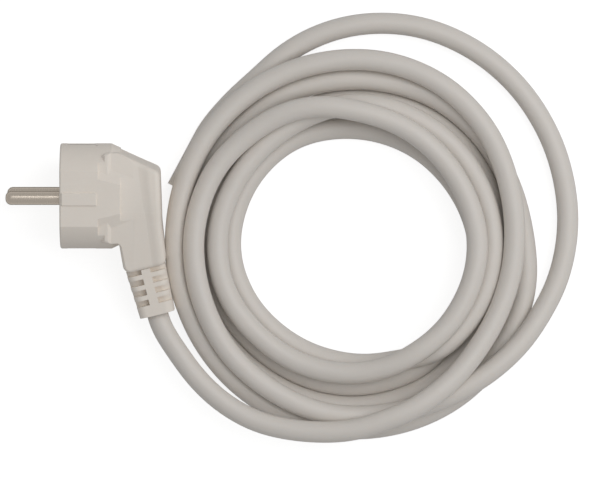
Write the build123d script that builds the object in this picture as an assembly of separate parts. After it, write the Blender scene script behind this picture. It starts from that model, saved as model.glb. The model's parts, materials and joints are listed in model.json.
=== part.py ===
from build123d import *
import os
from math import cos, radians, sin, tan

# Mains power cord: an angled plug with two round pins and earth contacts, moulded on a round three-core lead.
# The plug is drawn upright in its own frame: its face is the plane x = 0, the pins point to -X and stand apart
# along Z, and the lead leaves towards -Y. It is then rolled a little about the pin axis and laid on the floor.
# The lead lies beside it in a loose flat coil, and its far end is cut off flush. Sizes are in millimetres.

# Pins and their crimp barrels
pin_diameter = 4.8
pin_length = 19.0
pin_spacing = 19.0
pin_tip_radius = 2.0
pin_root_diameter = 5.4
pin_collar_diameter = 6.8
pin_collar_length = 1.5
barrel_diameter = 4.6
barrel_length = 7.0
crimp_depth = 5.0

# Insert that holds the pins, and the earth socket beside them
bridge_thickness = 5.0
bridge_margin = 2.2
bridge_corner = 2.0
earth_offset = 10.0
socket_diameter = 5.2
socket_wall = 0.6
socket_depth = 16.5

# Earth strip with its two side contacts
strip_thickness = 0.8
strip_position = 12.5
contact_width = 6.0
contact_start = 2.5
contact_recess = 0.4
crossbar_width = 8.4
earth_barrel_offset = -2.5

# Drum at the plug's face
drum_diameter = 37.0
flat_distance = 31.6
drum_length = 18.0
drum_rim_slope = 25.0
drum_rim_length = 3.2
face_edge_radius = 0.7
guide_width = 4.4
guide_length = 13.0
guide_height = 0.6
guide_edge_radius = 0.25

# Grip behind the drum, and the raised rim along its back
grip_start = 13.4
grip_width = 32.0
grip_corner = 4.0
shoulder_position = 20.7
shoulder_round = 6.0
back_position = 35.0
back_top = 9.4
back_corner = 2.6
back_bow = 0.6
back_bow_drop = 18.5
back_bow_round = 30.0
grip_slope = 13.0
grip_slope_start = 4.0
grip_slope_round = 28.0
grip_fall_start = 14.0
grip_fall_end = 26.0
grip_fall = 1.3
grip_fall_round = 40.0
grip_edge_radius = 1.8
flare_corner = 2.6
rim_start = 27.5
rim_front_run = 1.8
rim_rise_run = 2.6
rim_height = 0.65
rim_sink = 0.04
rim_foot_round = 9.0
rim_ridge_round = 4.0
rim_lean = 6.6

# Finger recesses in front of the neck
recess_position = 16.8
recess_depth = 1.2
recess_run = 1.2
recess_half_gap = 7.0
recess_turn = 14.0
recess_wall = 58.0
lip_drop = 0.3
lip_front_drop = 0.5
lip_ramp_length = 2.4
lip_ramp_height = 3.0

# Neck and strain relief, along an axis that leans away from the face
neck_lean = 14.0
relief_end = (34.0, -41.5)
relief_length = 16.9
neck_width = 15.2
neck_root_width = 13.6
neck_root_run = 0.1945
neck_root_drop = 1.0451
neck_root_round = 1.1
relief_start_width = 14.0
relief_end_width = 12.4
relief_start_height = 18.0
relief_end_height = 12.4
relief_corner = 3.0
slot_rows = 4
slot_width = 2.1
slot_pitch = 3.75
slot_first = 5.1
slot_depth = 2.6
relief_rib = 3.2

# Lead
cord_diameter = 7.5
core_diameter = 2.7
core_web = 0.3
copper_diameter = 1.6
sheath_tail_length = 30.0
core_fan_length = 3.0
core_bend = 6.0

# How it lies
plug_roll = 4.8

# Route of the lead, measured from the foot of the pin axis at the plug's face
lead_first_run = 9.0
lead_points = [
    (40.7, -59.1, 11.9),
    (49.1, -69.1, 11.7),
    (62.2, -78.3, 12.2),
    (78.4, -83.5, 13.6),
    (94.5, -83.8, 15.5),
]
loop_points = [
    (143.9, -66.4),
    (164.9, -50.1),
    (179.1, -20.7),
    (177.4, 12.1),
    (158.6, 44.1),
    (129.9, 60.8),
    (98.8, 60.8),
    (77.7, 50.0),
    (52.8, 25.3),
    (40.8, 2.8),
]
free_end_length = 10.0

# Coil of the lead
coil_centre = (102.9, -17.4)
coil_outer = (64.7, 69.0)
coil_inner = (39.6, 37.4)
coil_height = 20.0
coil_round = 6.0

half_flat = flat_distance / 2
drum_radius = drum_diameter / 2
cord_radius = cord_diameter / 2
pin_heights = {"live": pin_spacing / 2, "neutral": -pin_spacing / 2}
barrel_end = bridge_thickness + pin_collar_length + barrel_length
strip_back = strip_position + strip_thickness
earth_barrel_end = strip_back + barrel_length
grip_reach = back_position + neck_width
core_pitch = core_diameter + core_web
core_circle = core_pitch / 3**0.5

# The relief's own plane: origin at its end, x across it, y up, z outwards along the lead
lean = radians(neck_lean)
relief_plane = Plane(
    origin=(relief_end[0], relief_end[1], 0),
    x_dir=Vector(1, 0, 0).rotate(Axis.Z, neck_lean),
    z_dir=Vector(0, -1, 0).rotate(Axis.Z, neck_lean),
)
core_places = {
    "live": (-core_circle / 2, core_pitch / 2),
    "neutral": (-core_circle / 2, -core_pitch / 2),
    "earth": (core_circle, 0),
}


def on_relief(across, up, inwards):
    """Point in the plug's frame, given across the relief, up, and inwards from its end."""
    return relief_plane.from_local_coords(Vector(across, up, -inwards))


def rod(diameter, start, end, y=0.0, z=0.0):
    """Round bar along X from start to end."""
    return Pos((start + end) / 2, y, z) * Rot(Y=90) * Cylinder(diameter / 2, end - start)


def block(x, y, z):
    """Box from three (low, high) pairs."""
    size = [high - low for low, high in (x, y, z)]
    return Pos(*((low + high) / 2 for low, high in (x, y, z))) * Box(*size)


def rounded(points, radii):
    """Face inside a closed outline whose corners have the given radii."""
    return make_face(FilletPolyline(*points, radius=radii, close=True))


def route_radii(points):
    """Largest radius that each inner point's two runs allow, leaving a tenth of the shorter run straight."""
    radii = []
    for before, here, after in zip(points, points[1:], points[2:]):
        run_in = Vector(here) - Vector(before)
        run_out = Vector(after) - Vector(here)
        half_turn = radians(run_in.get_angle(run_out)) / 2
        radii.append(0.45 * min(run_in.length, run_out.length) / tan(half_turn))
    return radii


def swept(section_radius, path):
    """Round bar along a path."""
    return sweep(Plane(path @ 0, z_dir=path % 0) * Circle(section_radius), path=path)


def pin_blank(height):
    """Turned pin: rounded tip, shank, root through the insert, collar behind it and a plain barrel."""
    shank = rod(pin_diameter, -pin_length, 0, z=height)
    shank = fillet(shank.edges().sort_by(Axis.X)[0], pin_tip_radius)
    root = rod(pin_root_diameter, 0, bridge_thickness, z=height)
    collar_end = bridge_thickness + pin_collar_length
    collar = rod(pin_collar_diameter, bridge_thickness, collar_end, z=height)
    return shank + root + collar + rod(barrel_diameter, collar_end, barrel_end, z=height)


def pin(height):
    """Pin with its barrel bored for the conductor."""
    return pin_blank(height) - rod(copper_diameter, barrel_end - crimp_depth, barrel_end, z=height)


def bridge_blank():
    """T-shaped plate, flush with the face."""
    pin_arm = RectangleRounded(
        pin_collar_diameter + 2 * bridge_margin, pin_spacing + pin_root_diameter + 2 * bridge_margin, bridge_corner
    )
    socket_width = socket_diameter + 2 * (socket_wall + bridge_margin)
    socket_arm = Pos(earth_offset / 2, 0) * RectangleRounded(
        earth_offset + socket_width, socket_width, bridge_corner
    )
    return extrude(Plane.YZ * (pin_arm + socket_arm), bridge_thickness)


def pin_bridge():
    """Plate with a hole for each pin and the mouth of the earth socket."""
    plate = bridge_blank() - rod(socket_diameter, 0, bridge_thickness, y=earth_offset)
    for height in pin_heights.values():
        plate -= rod(pin_root_diameter, 0, bridge_thickness, z=height)
    return plate


def sleeve_blank():
    """Outside of the earth socket's sleeve, between the insert and the earth strip."""
    return rod(socket_diameter + 2 * socket_wall, bridge_thickness, strip_position, y=earth_offset)


def earth_sleeve():
    """Sleeve that takes a socket outlet's earth pin."""
    return sleeve_blank() - rod(socket_diameter, bridge_thickness, strip_position, y=earth_offset)


def strip_blank():
    """U-shaped strip: a crossbar with a barrel behind it, and a side contact at each end."""
    reach = drum_radius - contact_recess
    strip = block((strip_position, strip_back), (-reach, reach), (-crossbar_width / 2, crossbar_width / 2))
    for side in (-1, 1):
        inner, outer = sorted((side * (reach - strip_thickness), side * reach))
        strip += block((contact_start, strip_back), (inner, outer), (-contact_width / 2, contact_width / 2))
    return strip + rod(barrel_diameter, strip_back, earth_barrel_end, y=earth_barrel_offset)


def earth_strip():
    """Strip with the earth pin's hole in its crossbar and its barrel bored for the conductor."""
    strip = strip_blank() - rod(socket_diameter, strip_position, strip_back, y=earth_offset)
    return strip - rod(copper_diameter, earth_barrel_end - crimp_depth, earth_barrel_end, y=earth_barrel_offset)


def core_path(name, crimped):
    """Way of one core: through the sheath, fanned out inside the body and straight to or into its crimp barrel."""
    across, up = core_places[name]
    if name == "earth":
        end, y, z = earth_barrel_end, earth_barrel_offset, 0.0
    else:
        end, y, z = barrel_end, 0.0, pin_heights[name]
    fan = [
        on_relief(across, up, sheath_tail_length),
        on_relief(across, up, sheath_tail_length + core_fan_length),
        Vector(end + core_bend, y, z),
        Vector(end, y, z),
    ]
    stop = Vector(end - crimp_depth if crimped else end, y, z)
    return FilletPolyline(on_relief(across, up, 0), *fan[1:3], stop, radius=route_radii(fan))


def sheath(length, start):
    """Length of the lead's sheath from a start place along its z, with a bore for each core."""
    tube = start * Pos(0, 0, length / 2) * Cylinder(cord_radius, length)
    for across, up in core_places.values():
        tube -= start * Pos(across, up, length / 2) * Cylinder(core_diameter / 2, length)
    return tube


def drum():
    """Round front of the plug with a sloped rear rim, two flats and a low guide rib on each."""
    rim_end = drum_length + drum_rim_length
    rim_radius = drum_radius - drum_rim_length * tan(radians(drum_rim_slope))
    profile = Polyline(
        (0, 0), (0, drum_radius), (drum_length, drum_radius), (rim_end, rim_radius), (rim_end, 0), close=True
    )
    body = revolve(make_face(profile), Axis.X)
    body &= block((0, rim_end), (-drum_radius, drum_radius), (-half_flat, half_flat))
    body = fillet(body.faces().sort_by(Axis.X)[0].edges(), face_edge_radius)
    rib = block(
        (face_edge_radius, guide_length), (-guide_width / 2, guide_width / 2), (0, half_flat + guide_height)
    )
    rib = fillet(rib.faces().sort_by(Axis.Z)[-1].edges(), guide_edge_radius)
    return body + rib + rib.mirror(Plane.XY)


def neck_corner(side, width, inwards):
    """Corner of the neck's outline on one side of its axis."""
    point = on_relief(side * width / 2, 0, inwards)
    return point.X, point.Y


def grip_outline():
    """Outline of the grip and neck seen along Z."""
    half = grip_width / 2
    half_root = neck_root_width / 2
    root_level = -half - neck_root_drop
    root = on_relief(-half_root, 0, (root_level + half_root * sin(lean) - relief_end[1]) / cos(lean))
    points = [
        (grip_start, -half),
        (root.X - neck_root_run, -half),
        (root.X, root.Y),
        neck_corner(-1, neck_width, relief_length),
        neck_corner(1, neck_width, relief_length),
        (back_position + back_bow, back_top - back_bow_drop),
        (back_position, back_top),
        (shoulder_position, half),
        (grip_start, half),
    ]
    radii = [grip_corner, neck_root_round, neck_root_round, flare_corner, flare_corner]
    radii += [back_bow_round, back_corner, shoulder_round, grip_corner]
    return rounded(points, radii)


def grip_side():
    """Upper outline of the grip seen along X: level along the spine and sloping away to both sides."""
    slope = tan(radians(grip_slope))
    far = drum_radius + 1
    low = -relief_end[1]
    points = [
        (far, half_flat - (far - grip_slope_start) * slope),
        (grip_slope_start, half_flat),
        (-grip_slope_start, half_flat),
        (-low, half_flat - (low - grip_slope_start) * slope),
        (-low, -flat_distance),
        (far, -flat_distance),
    ]
    return rounded(points, [0, grip_slope_round, grip_slope_round, 0, 0, 0])


def under_top(levels, turns):
    """Space under the grip's upper side, which follows the given (x, level) points with rounded turns."""
    path = FilletPolyline(*((x, 0, level) for x, level in levels), radius=turns)
    start = Plane(path @ 0, x_dir=(0, 1, 0), z_dir=(1, 0, 0))
    return sweep(start * grip_side(), path=path, normal=(1, 0, 0))


def grip_layer(space):
    """Grip between its outline and the same upper and lower side, with the edges along the outline rounded."""
    outline = grip_outline()
    layer = extrude(outline, flat_distance, both=True) & space & space.mirror(Plane.XY)
    rim = []
    for edge in layer.edges():
        middle = edge @ 0.5
        on_outline = outline.wire().distance_to(Vertex(middle.X, middle.Y, 0)) < 0.01
        if on_outline and abs((edge % 0.5).Z) < 0.9:
            rim.append(edge)
    return fillet(rim, grip_edge_radius)


def grip():
    """Grip and neck: the spine falls away gently behind the drum and then runs level."""
    levels = [(0, 0), (grip_fall_start, 0), (grip_fall_end, -grip_fall), (grip_reach, -grip_fall)]
    return grip_layer(under_top(levels, [grip_fall_round, grip_fall_round]))


def back_rim():
    """Raised rim along the grip's back: its front rises from the grip along a leaning line."""
    foot = -grip_fall - rim_sink
    top = rim_height - grip_fall
    rise_start = rim_start + rim_front_run
    rise_end = rise_start + rim_rise_run
    levels = [(rim_start, foot), (rise_start, foot), (rise_end, top), (grip_reach, top)]
    space = under_top(levels, [rim_foot_round, rim_ridge_round])
    return grip_layer(space.rotate(Axis((rim_start, 0, 0), (0, 0, 1)), rim_lean))


def relief_block(inset):
    """Tapered block of the strain relief, with its upper and lower side set in."""
    root = RectangleRounded(relief_start_width, relief_start_height - 2 * inset, relief_corner)
    tip = RectangleRounded(relief_end_width, relief_end_height - 2 * inset, relief_corner)
    return loft([relief_plane.offset(-relief_length) * root, relief_plane * tip])


def relief():
    """Strain relief with rows of slots in its upper and lower side, on each side of a rib in the middle."""
    slots = []
    for row in range(slot_rows):
        along = -(slot_first + row * slot_pitch)
        for side in (-1, 1):
            across = side * (relief_rib + relief_start_width) / 2
            slots.append(relief_plane.location * Pos(across, 0, along) * Box(
                relief_start_width, relief_start_height, slot_width
            ))
    core = relief_block(slot_depth)
    return relief_block(0) - slots + core


def beside_spine(profile, side, level):
    """Space over an XZ profile, hinged down with the grip's slope on one side of the spine, above or below."""
    space = extrude(make_face(Plane.XZ * profile), grip_width)
    space = Pos(0, -grip_slope_start, half_flat) * Rot(X=grip_slope) * Pos(0, 0, -half_flat) * space
    reach = 2 * grip_width
    wall = Pos(grip_start, -recess_half_gap, half_flat) * Rot(Z=recess_turn) * Rot(X=-recess_wall)
    space &= wall * Pos(0, -reach / 2, 0) * Box(reach, reach, reach)
    if side > 0:
        space = space.mirror(Plane.XZ)
    if level < 0:
        space = space.mirror(Plane.XY)
    return space


def lip_ramp():
    """Outline of the space in front of the lip, over the ramp that climbs to it from the drum."""
    lip = half_flat - lip_front_drop
    ramp_end = grip_start + lip_ramp_length
    over = half_flat + grip_width
    return Polyline(
        (grip_start, lip - lip_ramp_height), (ramp_end, lip), (ramp_end, over), (grip_start, over), close=True
    )


def finger_recess():
    """Outline of the space over the lip and the recess: down a short steep wall and along a level floor."""
    floor = recess_position + recess_run
    over = half_flat + grip_width
    return Polyline(
        (grip_start, half_flat - lip_front_drop),
        (recess_position, half_flat - lip_drop),
        (floor, half_flat - recess_depth),
        (back_position, half_flat - recess_depth),
        (back_position, over),
        (grip_start, over),
        close=True,
    )


def plug_shell():
    """Outside of the moulded body, before the pieces inside it are cut out."""
    corners = [(side, level) for side in (-1, 1) for level in (-1, 1)]
    body = grip() - [beside_spine(lip_ramp(), *corner) for corner in corners]
    body += drum()
    body -= [beside_spine(finger_recess(), *corner) for corner in corners]
    return body + back_rim() + relief()


def plug_body():
    """Moulded body: its outside, less the contact recesses, the earth socket and the pieces moulded in."""
    body = plug_shell()
    for side in (-1, 1):
        low, high = sorted((side * (drum_radius - contact_recess), side * drum_radius))
        body -= block((contact_start, strip_position), (low, high), (-contact_width / 2, contact_width / 2))
    body -= rod(socket_diameter, 0, socket_depth, y=earth_offset)
    body -= bridge_blank()
    body -= sleeve_blank()
    body -= strip_blank()
    body -= relief_plane.location * Pos(0, 0, -sheath_tail_length / 2) * Cylinder(cord_radius, sheath_tail_length)
    for height in pin_heights.values():
        body -= pin_blank(height)
    for name in core_places:
        body -= swept(core_diameter / 2, core_path(name, False))
    return body


def plug_pieces():
    """All pieces of the plug, in its own frame."""
    pieces = {
        "plug_body": plug_body(),
        "pin_live": pin(pin_heights["live"]),
        "pin_neutral": pin(pin_heights["neutral"]),
        "pin_bridge": pin_bridge(),
        "earth_sleeve": earth_sleeve(),
        "earth_strip": earth_strip(),
        "sheath_tail": sheath(sheath_tail_length, relief_plane.offset(-sheath_tail_length).location),
    }
    for name in core_places:
        copper = swept(copper_diameter / 2, core_path(name, True))
        pieces["copper_" + name] = copper
        pieces["core_" + name] = swept(core_diameter / 2, core_path(name, False)) - copper
    return pieces


def tube(points, radii, label):
    """Round lead along a route of straight runs and arcs."""
    path = FilletPolyline(*points, radius=radii)
    body = swept(cord_radius, path)
    full = Circle(cord_radius).area * path.length
    print(label, "length", round(path.length, 1), "bend radii", [round(radius, 1) for radius in radii])
    print(label, "volume", round(body.volume, 1), "section times length", round(full, 1))
    return body


def channel(points, radii, side):
    """Space that the lead takes when it is laid into the coil, open upwards (side 1) or downwards (side -1)."""
    path = FilletPolyline(*points, radius=radii)
    section = Circle(cord_radius) + Pos(0, side * cord_diameter) * Rectangle(cord_diameter, 2 * cord_diameter)
    across = Vector(0, 0, 1).cross(path % 0)
    return sweep(Plane(path @ 0, x_dir=across, z_dir=path % 0) * section, path=path)


def coil():
    """Loose coil as one flat oval ring with a rounded top."""
    ring = extrude(Ellipse(*coil_outer) - Ellipse(*coil_inner), coil_height)
    ring = fillet(ring.faces().sort_by(Axis.Z)[-1].edges(), coil_round)
    return Pos(*coil_centre, 0) * ring


def cord_pieces(start, direction):
    """The lead: from the relief to the coil, the coil, the loop outside it and the cut free end."""
    lead = [start, start + direction * lead_first_run] + [Vector(*point) for point in lead_points]
    lead_radii = route_radii(lead)
    loop = [Vector(x, y, cord_radius) for x, y in loop_points]
    end_direction = (loop[-1] - loop[-2]).normalized()
    way_out = loop[-1] + end_direction * free_end_length
    loop[-1] -= end_direction * free_end_length
    loop_radii = route_radii(loop)
    end_place = Plane(loop[-1], x_dir=(0, 0, 1), z_dir=end_direction).location
    ring = coil() - channel(lead[-3:], lead_radii[-1:], 1) - channel(loop[:3], loop_radii[:1], -1)
    pieces = {
        "cord_lead": tube(lead, lead_radii, "lead"),
        "cord_coil": ring - channel(loop[-4:-1] + [way_out], loop_radii[-2:], -1),
        "cord_outer_loop": tube(loop, loop_radii, "outer loop"),
        "cord_end_sheath": sheath(free_end_length, end_place),
    }
    for name, (across, up) in core_places.items():
        place = end_place * Pos(across, up, free_end_length / 2)
        copper = place * Cylinder(copper_diameter / 2, free_end_length)
        pieces["cord_end_copper_" + name] = copper
        pieces["cord_end_core_" + name] = place * Cylinder(core_diameter / 2, free_end_length) - copper
    return pieces


def laid_down():
    """All pieces as they lie: the plug rolled and set on the floor with the middle of its box over the origin."""
    plug = {name: Rot(X=plug_roll) * piece for name, piece in plug_pieces().items()}
    box = Compound(list(plug.values())).bounding_box()
    lift = Vector(0, 0, -box.min.Z)
    shift = Vector(-box.center().X, -box.center().Y, 0)
    start = Vector(*relief_end, 0).rotate(Axis.X, plug_roll) + lift
    direction = relief_plane.z_dir.rotate(Axis.X, plug_roll)
    print("pin axis", shift + lift)
    pieces = {name: Pos(*(lift + shift)) * piece for name, piece in plug.items()}
    for name, piece in cord_pieces(start, direction).items():
        pieces[name] = Pos(*shift) * piece
    return pieces


os.makedirs("parts", exist_ok=True)
for name, piece in laid_down().items():
    solid = piece.solid()
    print(name, "valid", solid.is_valid, "solids", len(piece.solids()), "volume", round(solid.volume, 1))
    export_step(solid, f"parts/{name}.step")
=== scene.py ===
import json

import bpy
import numpy as np
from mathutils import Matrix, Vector


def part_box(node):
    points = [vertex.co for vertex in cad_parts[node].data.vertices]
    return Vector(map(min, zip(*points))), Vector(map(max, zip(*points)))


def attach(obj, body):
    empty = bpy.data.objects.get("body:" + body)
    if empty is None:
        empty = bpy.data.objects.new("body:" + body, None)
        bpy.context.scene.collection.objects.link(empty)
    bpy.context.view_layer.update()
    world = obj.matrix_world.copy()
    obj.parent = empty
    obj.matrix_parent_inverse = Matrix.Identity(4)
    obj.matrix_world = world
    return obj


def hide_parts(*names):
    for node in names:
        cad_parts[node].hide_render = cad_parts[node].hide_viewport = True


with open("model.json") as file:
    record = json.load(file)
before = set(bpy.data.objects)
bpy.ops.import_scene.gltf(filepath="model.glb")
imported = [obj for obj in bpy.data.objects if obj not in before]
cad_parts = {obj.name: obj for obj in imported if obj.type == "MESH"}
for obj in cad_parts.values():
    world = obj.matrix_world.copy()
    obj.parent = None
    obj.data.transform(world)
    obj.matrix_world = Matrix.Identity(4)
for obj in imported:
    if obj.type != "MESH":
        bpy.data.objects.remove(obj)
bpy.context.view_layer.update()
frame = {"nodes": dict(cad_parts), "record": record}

MM = 0.001
nodes = frame["nodes"]
pins = np.array([m["pos_m"] for m in frame["record"]["mounts"] if m["kind"] == "pin"]) / MM

# Sizes in millimetres: the lead, its way out of the relief and its cut end
CORD = 7.5
PLUG_ROLL = np.radians(4.8)
NECK_LEAN = np.radians(14.0)
RELIEF_END = (34.0, -41.5)
FIRST_RUN = 4.5
CUT_END = (40.8, 2.8)
CUT_HEADING = np.radians(-118.07)
STUB = 10.0
LAST_RUN = 7.0

# Surface of the lead: points round it, steps of its line at each control point, and its cores' bulges
TUBE_SIDES = 28
LINE_STEPS = 5
CORES = 3
CORE_BULGE = 0.004
CORE_TWIST = 70.0

# Point of the floor under the middle of the plug's face, from which the lead's route is measured
FACE = np.array([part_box("plug_body")[0].x / MM, pins[:, 1].mean(), 0.0])

# Camera, straight down on the middle of the picture with a long lens
VIEW_CENTRE = (84.15, -15.5)
VIEW_WIDTH = 211.3
VIEW_LEVEL = 10.0
VIEW_DISTANCE = 3000.0
SENSOR_WIDTH = 36.0
FARTHEST_VIEW = 10000.0

# Soft box and sky: places and size in metres, power in watts
LAMP_PLACE = (0.70, 0.30, 1.15)
LAMP_AIM = (0.075, 0.0, 0.0)
LAMP_SIZE = 1.3
LAMP_POWER = 8.7
SKY_STRENGTH = 0.35

# Floor in millimetres, its grey, its glow, and the share of that glow that falls on the lead and the plug
FLOOR_REACH = 2500.0
FLOOR_LINES = 11
FLOOR_LEVEL = -0.2
FLOOR_GREY = 0.45
FLOOR_GLOW = 0.8
FLOOR_BOUNCE = 0.2

# Winding of the lead about its middle: degrees anticlockwise seen from above, radius and height
COIL_CENTRE = (103.2, -18.0)
WINDING = [
    # From the relief over the coil's near edge, down on its inner turns and out to its far rim
    (208, 72.2, 12.6), (214, 72.1, 12.2), (220, 72.0, 12.0), (230, 71.5, 12.0), (240, 70.4, 12.6),
    (250, 68.1, 13.8), (260, 66.0, 15.4), (270, 64.2, 17.0), (280, 61.6, 18.4), (290, 60.4, 18.5),
    (300, 59.0, 17.6), (310, 57.4, 15.4), (320, 56.2, 12.6), (340, 55.6, 10.4), (360, 56.3, 10.6),
    (370, 57.2, 12.2), (380, 58.3, 13.8), (400, 61.8, 14.2), (420, 64.7, 13.2), (440, 66.0, 11.4),
    (460, 65.9, 11.2), (480, 65.6, 11.2), (500, 65.1, 11.1), (520, 63.8, 10.9), (540, 62.8, 10.4),
    (550, 62.8, 10.2),
    # Down to the floor as the widest turn
    (560, 62.4, 10.0), (570, 62.4, 9.0), (580, 62.7, 7.4), (600, 63.4, 4.2), (630, 64.1, 3.75),
    (660, 64.1, 3.75), (690, 63.4, 3.75), (710, 61.8, 3.75), (720, 60.3, 3.75), (740, 59.0, 6.8),
    (760, 59.5, 7.4), (780, 59.9, 7.4), (800, 59.3, 7.4), (820, 59.1, 7.4), (840, 58.9, 7.4),
    (850, 58.3, 6.4), (860, 57.8, 5.0), (880, 57.6, 3.75), (900, 58.6, 3.75),
    # On the floor inside it
    (920, 57.6, 3.75), (950, 56.0, 3.75), (990, 56.2, 3.75), (1020, 54.6, 3.75), (1050, 53.2, 3.75),
    (1080, 52.0, 3.75), (1110, 52.4, 3.75), (1140, 52.7, 3.75), (1170, 52.0, 3.75), (1200, 50.9, 3.75),
    (1240, 50.8, 3.75), (1260, 50.9, 3.75),
    # And again, wandering inwards
    (1280, 50.2, 3.75), (1310, 49.0, 3.75), (1350, 48.9, 3.75), (1380, 47.9, 3.75), (1410, 45.7, 3.75),
    (1440, 44.0, 3.75), (1470, 41.9, 3.75), (1500, 41.3, 3.75), (1530, 41.8, 3.75), (1560, 43.6, 3.75),
    (1590, 44.6, 3.75), (1620, 43.7, 3.75),
    # Innermost turn, which climbs on the last two
    (1640, 42.5, 3.75), (1670, 40.7, 3.75), (1710, 41.2, 3.75), (1730, 43.2, 4.4), (1745, 46.2, 9.4),
    (1760, 47.4, 11.0), (1780, 48.4, 10.6), (1800, 48.9, 10.2), (1830, 49.3, 10.4), (1860, 49.9, 10.4),
    (1890, 50.4, 10.4), (1910, 49.2, 10.2), (1920, 48.2, 10.1), (1950, 47.7, 10.1), (1980, 48.3, 10.4),
    # Across the top of the coil
    (2000, 47.7, 10.4), (2020, 46.0, 10.1), (2040, 45.2, 10.1), (2070, 44.3, 10.6), (2100, 43.2, 16.4),
    (2130, 42.8, 17.2), (2160, 43.3, 15.9), (2190, 43.2, 15.7), (2220, 44.9, 15.7), (2250, 48.1, 17.2),
    (2260, 50.0, 17.3), (2270, 51.8, 16.9), (2280, 53.2, 15.4), (2290, 53.9, 13.6), (2310, 55.8, 10.6),
    (2330, 56.4, 14.2), (2340, 56.5, 15.4),
    # Over the outer turns and out into the wide loop on the floor, which comes back under the rim
    (2360, 56.6, 15.2), (2380, 57.5, 13.0), (2400, 58.0, 11.3), (2420, 59.3, 11.2), (2440, 59.9, 11.2),
    (2460, 61.4, 11.2), (2470, 63.3, 11.2), (2480, 65.2, 10.9), (2490, 67.4, 9.2), (2500, 69.8, 6.0),
    (2510, 72.5, 3.75), (2520, 74.7, 3.75), (2530, 76.5, 3.75), (2540, 78.0, 3.75), (2550, 79.4, 3.75),
    (2560, 80.5, 3.75), (2570, 81.3, 3.75), (2580, 81.5, 3.75), (2590, 81.3, 3.75), (2600, 80.2, 3.75),
    (2610, 78.3, 3.75), (2620, 75.7, 3.75), (2630, 72.2, 3.75), (2640, 68.3, 3.75), (2650, 66.8, 3.75),
    (2660, 66.0, 3.75),
]

# How the turns settle: degrees between rays, rounds, and the share of each move that is made in one round
RAY = 10.0
ROUNDS = 400
PRESS = 0.3
PRESS_SIDEWAYS = 0.5
RETURN_SIDEWAYS = 0.04
RETURN_UP = 0.01
LEVELLING = 0.06
NO_DISTANCE = 1e-6

# Moulded plastic: patterns per metre, and what grain, mottling and scuffs do to tone, roughness and height
MOTTLE_SCALE = 90.0
SCUFF_SCALE = (60.0, 900.0, 400.0)
SCUFF_TURN = (0.4, 0.3, 0.7)
SCUFF_RANGE = (0.62, 0.8)
GRAIN_TONE = 0.05
SCUFF_TONE = 0.25
MOTTLE_ROUGHNESS = 0.16
SCUFF_ROUGHNESS = 0.2
SCUFF_HEIGHT = 0.4

# Plated metal and bunched wires: patterns, and what spots, lines and joints do to tone and roughness
SPOT_SCALE = 500.0
SPOT_RANGE = (0.45, 0.75)
SPOT_TONE = 0.6
LINE_ROUGHNESS = 0.1
WIRE_DISORDER = 0.7
JOINT_RANGE = (0.3, 0.7)
JOINT_ROUGHNESS = 0.3

# Light through soft plastic: how deep it goes in millimetres, and red, green and blue as shares of that
SOFT_DEPTH = 2.0
SOFT_COLOURS = (1.0, 0.9, 0.8)

# Bands of the earth core: width in millimetres, and where in it the colour changes
BAND_WIDTH = 0.9
BAND_EDGES = (0.45, 0.55)


def camera():
    """Long-lens camera straight above; its view is VIEW_WIDTH wide at VIEW_LEVEL above the floor."""
    data = bpy.data.cameras.new("camera")
    data.sensor_width = SENSOR_WIDTH
    data.lens = SENSOR_WIDTH * VIEW_DISTANCE / VIEW_WIDTH
    data.clip_end = FARTHEST_VIEW * MM
    eye = bpy.data.objects.new("camera", data)
    eye.location = (np.array([*VIEW_CENTRE, VIEW_LEVEL + VIEW_DISTANCE]) + FACE) * MM
    bpy.context.scene.collection.objects.link(eye)
    bpy.context.scene.camera = eye


def add_object(name, data):
    """Object at the origin, unturned and unscaled, with its shape in its data."""
    thing = bpy.data.objects.new(name, data)
    bpy.context.scene.collection.objects.link(thing)
    return thing


def grid_mesh(name, rows, around=False):
    """Mesh of a grid of points (m, n, 3): each square of four neighbours is a face.

    If around, it is closed across n, and a flat face closes each end."""
    count, width = rows.shape[:2]
    index = np.arange(count * width).reshape(count, width)
    if around:
        index = np.concatenate([index, index[:, :1]], 1)
    corners = [index[:-1, :-1], index[:-1, 1:], index[1:, 1:], index[1:, :-1]]
    quads = np.stack(corners, -1).reshape(-1, 4)
    faces = quads.tolist()
    if around:
        faces += [index[0, :width][::-1].tolist(), index[-1, :width].tolist()]
    mesh = bpy.data.meshes.new(name)
    mesh.from_pydata((rows.reshape(-1, 3) * MM).tolist(), [], faces)
    mesh.polygons.foreach_set("use_smooth", np.arange(len(faces)) < len(quads))
    return mesh


def smooth_chart(chart, angles):
    """Cubic pieces through uneven rows.

    The slope at a row is that of the parabola through it and its two neighbours."""
    knots, values = chart[:, 0], chart[:, 1:]
    step = np.diff(knots)[:, None]
    rise = np.diff(values, axis=0) / step
    middle = (rise[:-1] * step[1:] + rise[1:] * step[:-1]) / (step[:-1] + step[1:])
    slope = np.concatenate([rise[:1], middle, rise[-1:]])
    piece = np.clip(np.searchsorted(knots, angles, side="right") - 1, 0, len(knots) - 2)
    width = step[piece]
    t = (angles - knots[piece])[:, None] / width
    level = values[piece] * (1 - t) ** 2 * (1 + 2 * t) + values[piece + 1] * t**2 * (3 - 2 * t)
    return level + slope[piece] * width * t * (1 - t) ** 2 - slope[piece + 1] * width * t**2 * (1 - t)


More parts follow.
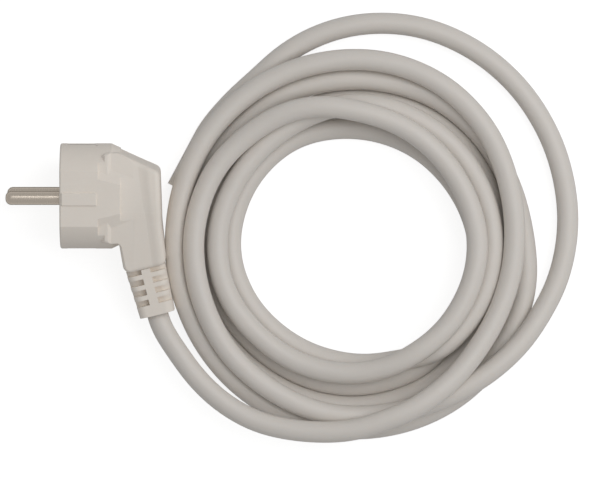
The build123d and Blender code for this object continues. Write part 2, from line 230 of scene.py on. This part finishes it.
def settled(radius, height):
    """Turns that press into each other part, on each ray from the coil's middle.

    In each round, two turns nearer than a diameter move apart along the line between them, by a share of what
    is missing. All stay above the floor, return a little to their place, and level out along the lead."""
    turn = int(round(360.0 / RAY))
    index = np.arange(len(radius))
    pairs = ((index[:, None] - index[None, :]) % turn == 0) & (index[:, None] != index[None, :])
    first_radius = radius.copy()
    first_height = height.copy()
    for _ in range(ROUNDS):
        across = radius[:, None] - radius[None, :]
        up = height[:, None] - height[None, :]
        apart = np.hypot(across, up) + NO_DISTANCE
        press = np.where(pairs & (apart < CORD), PRESS * (CORD - apart) / apart, 0.0)
        radius = radius + PRESS_SIDEWAYS * (press * across).sum(1) + RETURN_SIDEWAYS * (first_radius - radius)
        height = height + (press * up).sum(1) + RETURN_UP * (first_height - height)
        height[1:-1] += LEVELLING * (height[:-2] + height[2:] - 2 * height[1:-1])
        height = np.maximum(height, CORD / 2)
    return radius, height


def relief_mouth():
    """Middle of the relief's end and the lead's heading there: its neck leans and the plug is rolled."""
    x, y = RELIEF_END
    mouth = np.array([x, y * np.cos(PLUG_ROLL), pins[:, 2].mean() + y * np.sin(PLUG_ROLL)])
    down = -np.cos(NECK_LEAN)
    heading = np.array([np.sin(NECK_LEAN), down * np.cos(PLUG_ROLL), down * np.sin(PLUG_ROLL)])
    return mouth, heading


def lead_points():
    """Control points of the whole lead: out of the relief, round the settled winding and to the cut end.

    The spline runs inside its control points by the cosine of half a ray, so they stand out by as much."""
    chart = np.array(WINDING, float)
    first_ray = np.ceil(chart[0, 0] / RAY) * RAY
    angles = np.arange(first_ray, chart[-1, 0] + RAY / 2, RAY)
    radius, height = settled(*smooth_chart(chart, angles).T)
    radius = radius / np.cos(np.radians(RAY / 2))
    turn = np.radians(angles)
    x, y = COIL_CENTRE
    around = np.stack([x + radius * np.cos(turn), y + radius * np.sin(turn), height], 1)
    mouth, heading = relief_mouth()
    first = np.stack([mouth, mouth + FIRST_RUN * heading])
    along = np.array([np.cos(CUT_HEADING), np.sin(CUT_HEADING), 0.0])
    cut = np.array([*CUT_END, CORD / 2])
    last = np.stack([cut - (STUB + LAST_RUN) * along, cut - STUB * along])
    return np.concatenate([first, around, last]) + FACE


def spline_line(points):
    """Points along one smooth spline with these control points."""
    curve = bpy.data.curves.new("route", "CURVE")
    curve.dimensions = "3D"
    curve.resolution_u = LINE_STEPS
    spline = curve.splines.new("NURBS")
    spline.points.add(len(points) - 1)
    spline.points.foreach_set("co", np.c_[points, np.ones(len(points))].ravel())
    spline.order_u = 3
    spline.use_endpoint_u = True
    route = bpy.data.objects.new("route", curve)
    mesh = bpy.data.meshes.new_from_object(route)
    line = np.empty(len(mesh.vertices) * 3)
    mesh.vertices.foreach_get("co", line)
    bpy.data.meshes.remove(mesh)
    bpy.data.objects.remove(route)
    bpy.data.curves.remove(curve)
    return line.reshape(-1, 3)


def lead():
    """Round tube carried along the spline, with the faint bulges of the twisted cores under the sheath.

    Its radius is half of CORD times 1 + CORE_BULGE cos(CORES (angle - twist)), where twist goes once round in
    each CORE_TWIST of length."""
    line = spline_line(lead_points())
    tangent = np.gradient(line, axis=0)
    tangent /= np.linalg.norm(tangent, axis=1)[:, None]
    side = np.cross((0.0, 0.0, 1.0), tangent)
    side /= np.linalg.norm(side, axis=1)[:, None]
    up = np.cross(tangent, side)
    steps = np.linalg.norm(np.diff(line, axis=0), axis=1)
    along = np.concatenate([[0.0], np.cumsum(steps)])
    angle = np.linspace(0, 2 * np.pi, TUBE_SIDES, endpoint=False)
    twist = 2 * np.pi * along[:, None] / CORE_TWIST
    bulge = 1 + CORE_BULGE * np.cos(CORES * (angle[None, :] - twist))
    ring = side[:, None] * np.cos(angle)[None, :, None] + up[:, None] * np.sin(angle)[None, :, None]
    rows = line[:, None] + CORD / 2 * bulge[..., None] * ring
    tube = add_object("lead", grid_mesh("lead", rows, around=True))
    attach(tube, "root")
    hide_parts("cord_lead", "cord_coil", "cord_outer_loop")
    return tube


def add_node(tree, kind, values=(), **settings):
    """Node with its settings and socket values; a value that is a socket is linked."""
    node = tree.nodes.new(kind)
    for key, value in settings.items():
        setattr(node, key, value)
    for key, value in dict(values).items():
        if isinstance(value, bpy.types.NodeSocket):
            tree.links.new(value, node.inputs[key])
        else:
            node.inputs[key].default_value = value
    return node


def calc(tree, operation, *values):
    """Output of one step of arithmetic on two or three values."""
    return add_node(tree, "ShaderNodeMath", enumerate(values), operation=operation).outputs[0]


def noise(tree, place, scale, detail, roughness):
    """Output of a noise pattern at a place."""
    values = {"Vector": place, "Scale": scale, "Detail": detail, "Roughness": roughness}
    return add_node(tree, "ShaderNodeTexNoise", values).outputs[0]


def ramp(tree, value, ends):
    """Output that goes from 0 to 1 as a value goes from one end to the other."""
    values = {"Value": value, "From Min": ends[0], "From Max": ends[1]}
    return add_node(tree, "ShaderNodeMapRange", values).outputs[0]


def shaded(tree, colour, shade):
    """Output of a colour times a shade."""
    return add_node(tree, "ShaderNodeVectorMath", {0: colour, 1: shade}, operation="MULTIPLY").outputs[0]


def surface_group(name, colour, roughness, measures):
    """Shader node group that turns a colour, a roughness and named measures into a surface.

    Returns its tree and its inputs; give_surface ends it."""
    tree = bpy.data.node_groups.new(name, "ShaderNodeTree")
    kinds = {"Colour": "NodeSocketColor"}
    for label, value in {"Colour": colour, "Roughness": roughness, **measures}.items():
        kind = kinds.get(label, "NodeSocketFloat")
        tree.interface.new_socket(label, in_out="INPUT", socket_type=kind).default_value = value
    for label in ("Colour", "Roughness", "Height"):
        kind = kinds.get(label, "NodeSocketFloat")
        tree.interface.new_socket(label, in_out="OUTPUT", socket_type=kind)
    return tree, tree.nodes.new("NodeGroupInput").outputs


def give_surface(tree, colour, roughness, height):
    """Links a surface group's results to its outputs."""
    add_node(tree, "NodeGroupOutput", {"Colour": colour, "Roughness": roughness, "Height": height})


def moulded_group():
    """Surface of moulded soft plastic: fine grain, broad mottling and thin scuffs, from Object coordinates.

    The colour is multiplied by 1 plus the mottling and the grain, each about its middle, plus the scuffs.
    Mottling and scuffs also change the roughness, and the height is the grain less the scuffs."""
    tree, given = surface_group(
        "moulded_surface", (0.6, 0.56, 0.5, 1), 0.5, {"Grain size": 0.35, "Mottling": 0.04, "Scuffs": 0.1})
    place = add_node(tree, "ShaderNodeTexCoord").outputs["Object"]
    per_metre = calc(tree, "DIVIDE", 1 / MM, given["Grain size"])
    grain = noise(tree, place, per_metre, detail=3.0, roughness=0.6)
    broad = noise(tree, place, MOTTLE_SCALE, detail=4.0, roughness=0.62)
    stretch = {"Vector": place, "Rotation": SCUFF_TURN, "Scale": SCUFF_SCALE}
    stretched = add_node(tree, "ShaderNodeMapping", stretch).outputs[0]
    streak = noise(tree, stretched, 1.0, detail=2.0, roughness=0.5)
    scuffs = calc(tree, "MULTIPLY", ramp(tree, streak, SCUFF_RANGE), given["Scuffs"])
    swing = calc(tree, "SUBTRACT", broad, 0.5)
    shade = calc(tree, "MULTIPLY_ADD", swing, calc(tree, "MULTIPLY", given["Mottling"], 2.0), 1.0)
    shade = calc(tree, "MULTIPLY_ADD", calc(tree, "SUBTRACT", grain, 0.5), GRAIN_TONE, shade)
    shade = calc(tree, "ADD", shade, calc(tree, "MULTIPLY", scuffs, SCUFF_TONE))
    rough = calc(tree, "MULTIPLY_ADD", swing, MOTTLE_ROUGHNESS, given["Roughness"])
    rough = calc(tree, "MULTIPLY_ADD", scuffs, SCUFF_ROUGHNESS, rough)
    height = calc(tree, "SUBTRACT", grain, calc(tree, "MULTIPLY", scuffs, SCUFF_HEIGHT))
    give_surface(tree, shaded(tree, given["Colour"], shade), rough, height)
    return tree


def plated_group():
    """Surface of plated metal: lines turned about X and dull spots, from Object coordinates.

    Dull spots darken and roughen it, the lines change the roughness, and they are the height."""
    tree, given = surface_group(
        "plated_surface", (0.7, 0.68, 0.64, 1), 0.25, {"Line spacing": 0.3, "Dullness": 0.15})
    place = add_node(tree, "ShaderNodeTexCoord").outputs["Object"]
    per_metre = calc(tree, "DIVIDE", 1 / MM, given["Line spacing"])
    lengthwise = add_node(tree, "ShaderNodeSeparateXYZ", {0: place}).outputs["X"]
    turned = {"W": calc(tree, "MULTIPLY", lengthwise, per_metre), "Scale": 1.0, "Detail": 3.0}
    lines = add_node(tree, "ShaderNodeTexNoise", turned, noise_dimensions="1D").outputs[0]
    spots = ramp(tree, noise(tree, place, SPOT_SCALE, detail=5.0, roughness=0.7), SPOT_RANGE)
    dull = calc(tree, "MULTIPLY", spots, given["Dullness"])
    shade = calc(tree, "SUBTRACT", 1.0, calc(tree, "MULTIPLY", dull, SPOT_TONE))
    rough = calc(tree, "ADD", given["Roughness"], dull)
    rough = calc(tree, "MULTIPLY_ADD", calc(tree, "SUBTRACT", lines, 0.5), LINE_ROUGHNESS, rough)
    give_surface(tree, shaded(tree, given["Colour"], shade), rough, lines)
    return tree


def wire_group():
    """Surface of bunched thin wires: rounded cells with dark joints between them, from Object coordinates.

    Joints darken and roughen it, and the shade is the height."""
    tree, given = surface_group(
        "bunched_wires", (0.8, 0.42, 0.26, 1), 0.35, {"Wire size": 0.3, "Joint depth": 0.6})
    place = add_node(tree, "ShaderNodeTexCoord").outputs["Object"]
    per_metre = calc(tree, "DIVIDE", 1 / MM, given["Wire size"])
    bunch = {"Vector": place, "Scale": per_metre, "Randomness": WIRE_DISORDER}
    cells = add_node(tree, "ShaderNodeTexVoronoi", bunch).outputs["Distance"]
    joint = ramp(tree, cells, JOINT_RANGE)
    shade = calc(tree, "SUBTRACT", 1.0, calc(tree, "MULTIPLY", joint, given["Joint depth"]))
    rough = calc(tree, "MULTIPLY_ADD", joint, JOINT_ROUGHNESS, given["Roughness"])
    give_surface(tree, shaded(tree, given["Colour"], shade), rough, shade)
    return tree


def finish_material(name, group, values, metallic=0.0, bump=0.1, depth=0.02, soft=0.0, edge=1.0):
    """Material from a surface group: its colour and roughness go to the shader, its height through a bump.

    soft is how much light goes through it, edge how bright metal is where it turns away; below 1 that
    darkening is a painted reflection of dark surroundings."""
    material = bpy.data.materials.new(name)
    material.use_nodes = True
    tree = material.node_tree
    shader = tree.nodes["Principled BSDF"]
    surface = add_node(tree, "ShaderNodeGroup", values, node_tree=group)
    bumps = {"Strength": bump, "Distance": depth * MM, "Height": surface.outputs["Height"]}
    relief = add_node(tree, "ShaderNodeBump", bumps)
    tree.links.new(surface.outputs["Colour"], shader.inputs["Base Color"])
    tree.links.new(surface.outputs["Roughness"], shader.inputs["Roughness"])
    tree.links.new(relief.outputs["Normal"], shader.inputs["Normal"])
    shader.inputs["Metallic"].default_value = metallic
    # Specular Tint below 1 paints dark reflections where metal turns away
    shader.inputs["Specular Tint"].default_value = (edge, edge, edge, 1)
    shader.inputs["Subsurface Weight"].default_value = soft
    shader.inputs["Subsurface Radius"].default_value = SOFT_COLOURS
    shader.inputs["Subsurface Scale"].default_value = SOFT_DEPTH * MM
    return material


def add_bands(material, other, width):
    """Level bands of a second colour in a material from a surface group, by Object height.

    The colour goes to the other and back in two widths. In the mix, socket 0 is the share, 6 and 7 are the
    colours, and output 2 is the blend."""
    tree = material.node_tree
    surface = next(node for node in tree.nodes if node.type == "GROUP")
    first = tuple(surface.inputs["Colour"].default_value)
    place = add_node(tree, "ShaderNodeTexCoord").outputs["Object"]
    level = add_node(tree, "ShaderNodeSeparateXYZ", {0: place}).outputs["Z"]
    part = calc(tree, "PINGPONG", calc(tree, "DIVIDE", level, width * MM), 1.0)
    band = ramp(tree, part, BAND_EDGES)
    blend = add_node(tree, "ShaderNodeMix", {0: band, 6: first, 7: other}, data_type="RGBA")
    tree.links.new(blend.outputs[2], surface.inputs["Colour"])


def paint(piece, material):
    """Gives a piece one material in place of what it has."""
    piece.data.materials.clear()
    piece.data.materials.append(material)


def finishes(tube):
    """Material of each CAD node by its name, and of the lead."""
    moulded = moulded_group()
    plated = plated_group()
    sheath = finish_material(
        "sheath_grey", moulded,
        {"Colour": (0.75, 0.71, 0.665, 1), "Roughness": 0.42, "Grain size": 0.5, "Mottling": 0.02,
         "Scuffs": 0.06},
        bump=0.12, depth=0.03, soft=0.3)
    body = finish_material(
        "body_grey", moulded,
        {"Colour": (0.88, 0.815, 0.74, 1), "Roughness": 0.55, "Grain size": 0.3, "Mottling": 0.03,
         "Scuffs": 0.1},
        bump=0.25, depth=0.03, soft=0.1)
    insert = finish_material(
        "insert_grey", moulded,
        {"Colour": (0.58, 0.54, 0.49, 1), "Roughness": 0.4, "Grain size": 0.25, "Mottling": 0.03,
         "Scuffs": 0.05})
    # Pins: edge 0.1 is a painted reflection, dark surroundings mirrored on the turned-away sides of the pins
    nickel = finish_material(
        "pin_nickel", plated,
        {"Colour": (0.95, 0.84, 0.72, 1), "Roughness": 0.24, "Dullness": 0.05},
        metallic=1.0, bump=0.02, depth=0.005, edge=0.1)
    contact = finish_material(
        "contact_plating", plated,
        {"Colour": (0.66, 0.62, 0.56, 1), "Roughness": 0.32, "Dullness": 0.25},
        metallic=1.0, bump=0.2, depth=0.01)
    copper = finish_material(
        "copper_wires", wire_group(),
        {"Colour": (0.80, 0.42, 0.26, 1), "Roughness": 0.35},
        metallic=1.0, bump=0.5, depth=0.05)
    insulation = {
        "live": (0.16, 0.07, 0.035, 1), "neutral": (0.03, 0.13, 0.42, 1), "earth": (0.16, 0.36, 0.05, 1)}
    cores = {}
    for key, colour in insulation.items():
        cores[key] = finish_material(
            "core_" + key, moulded,
            {"Colour": colour, "Roughness": 0.42, "Grain size": 0.4, "Mottling": 0.03, "Scuffs": 0.05})
    add_bands(cores["earth"], (0.72, 0.55, 0.04, 1), BAND_WIDTH)
    of_node = {"plug_body": body, "pin_bridge": insert, "pin_live": nickel, "pin_neutral": nickel,
               "earth_sleeve": contact, "earth_strip": contact}
    paint(tube, sheath)
    for name, node in nodes.items():
        if "copper" in name:
            paint(node, copper)
        elif "core_" in name:
            paint(node, cores[name.rsplit("_", 1)[1]])
        else:
            paint(node, of_node.get(name, sheath))


def floor():
    """Plain floor, a flat grid of squares: it looks white, and throws back less light than white would."""
    at = np.linspace(-FLOOR_REACH, FLOOR_REACH, FLOOR_LINES)
    x, y = np.meshgrid(at, at)
    plane = add_object("floor", grid_mesh("floor", np.stack([x, y, np.full_like(x, FLOOR_LEVEL)], -1)))
    material = bpy.data.materials.new("floor_white")
    material.use_nodes = True
    tree = material.node_tree
    shader = tree.nodes["Principled BSDF"]
    shader.inputs["Base Color"].default_value = (FLOOR_GREY, FLOOR_GREY, FLOOR_GREY, 1)
    shader.inputs["Roughness"].default_value = 0.9
    shader.inputs["Specular IOR Level"].default_value = 0.1
    seen = add_node(tree, "ShaderNodeLightPath").outputs["Is Camera Ray"]
    glow = add_node(tree, "ShaderNodeMapRange", {"Value": seen, "To Min": FLOOR_BOUNCE, "To Max": 1.0})
    tree.links.new(glow.outputs[0], shader.inputs["Emission Color"])
    shader.inputs["Emission Strength"].default_value = FLOOR_GLOW
    plane.data.materials.append(material)


def soft_box(name, place, aim, size, power):
    """Square soft light at a place, turned to its aim."""
    data = bpy.data.lights.new(name, "AREA")
    data.shape = "SQUARE"
    data.size = size
    data.energy = power
    lamp = add_object(name, data)
    lamp.location = place
    lamp.rotation_euler = (Vector(aim) - Vector(place)).to_track_quat("-Z", "Y").to_euler()


def lights():
    """Large soft box overhead, towards the far right, and an even sky."""
    soft_box("overhead", LAMP_PLACE, LAMP_AIM, LAMP_SIZE, LAMP_POWER)
    world = bpy.data.worlds.new("sky")
    world.use_nodes = True
    sky = world.node_tree.nodes["Background"]
    sky.inputs["Color"].default_value = (1, 1, 1, 1)
    sky.inputs["Strength"].default_value = SKY_STRENGTH
    bpy.context.scene.world = world
    bpy.context.scene.view_settings.view_transform = "Standard"


camera()
tube = lead()
finishes(tube)
floor()
lights()
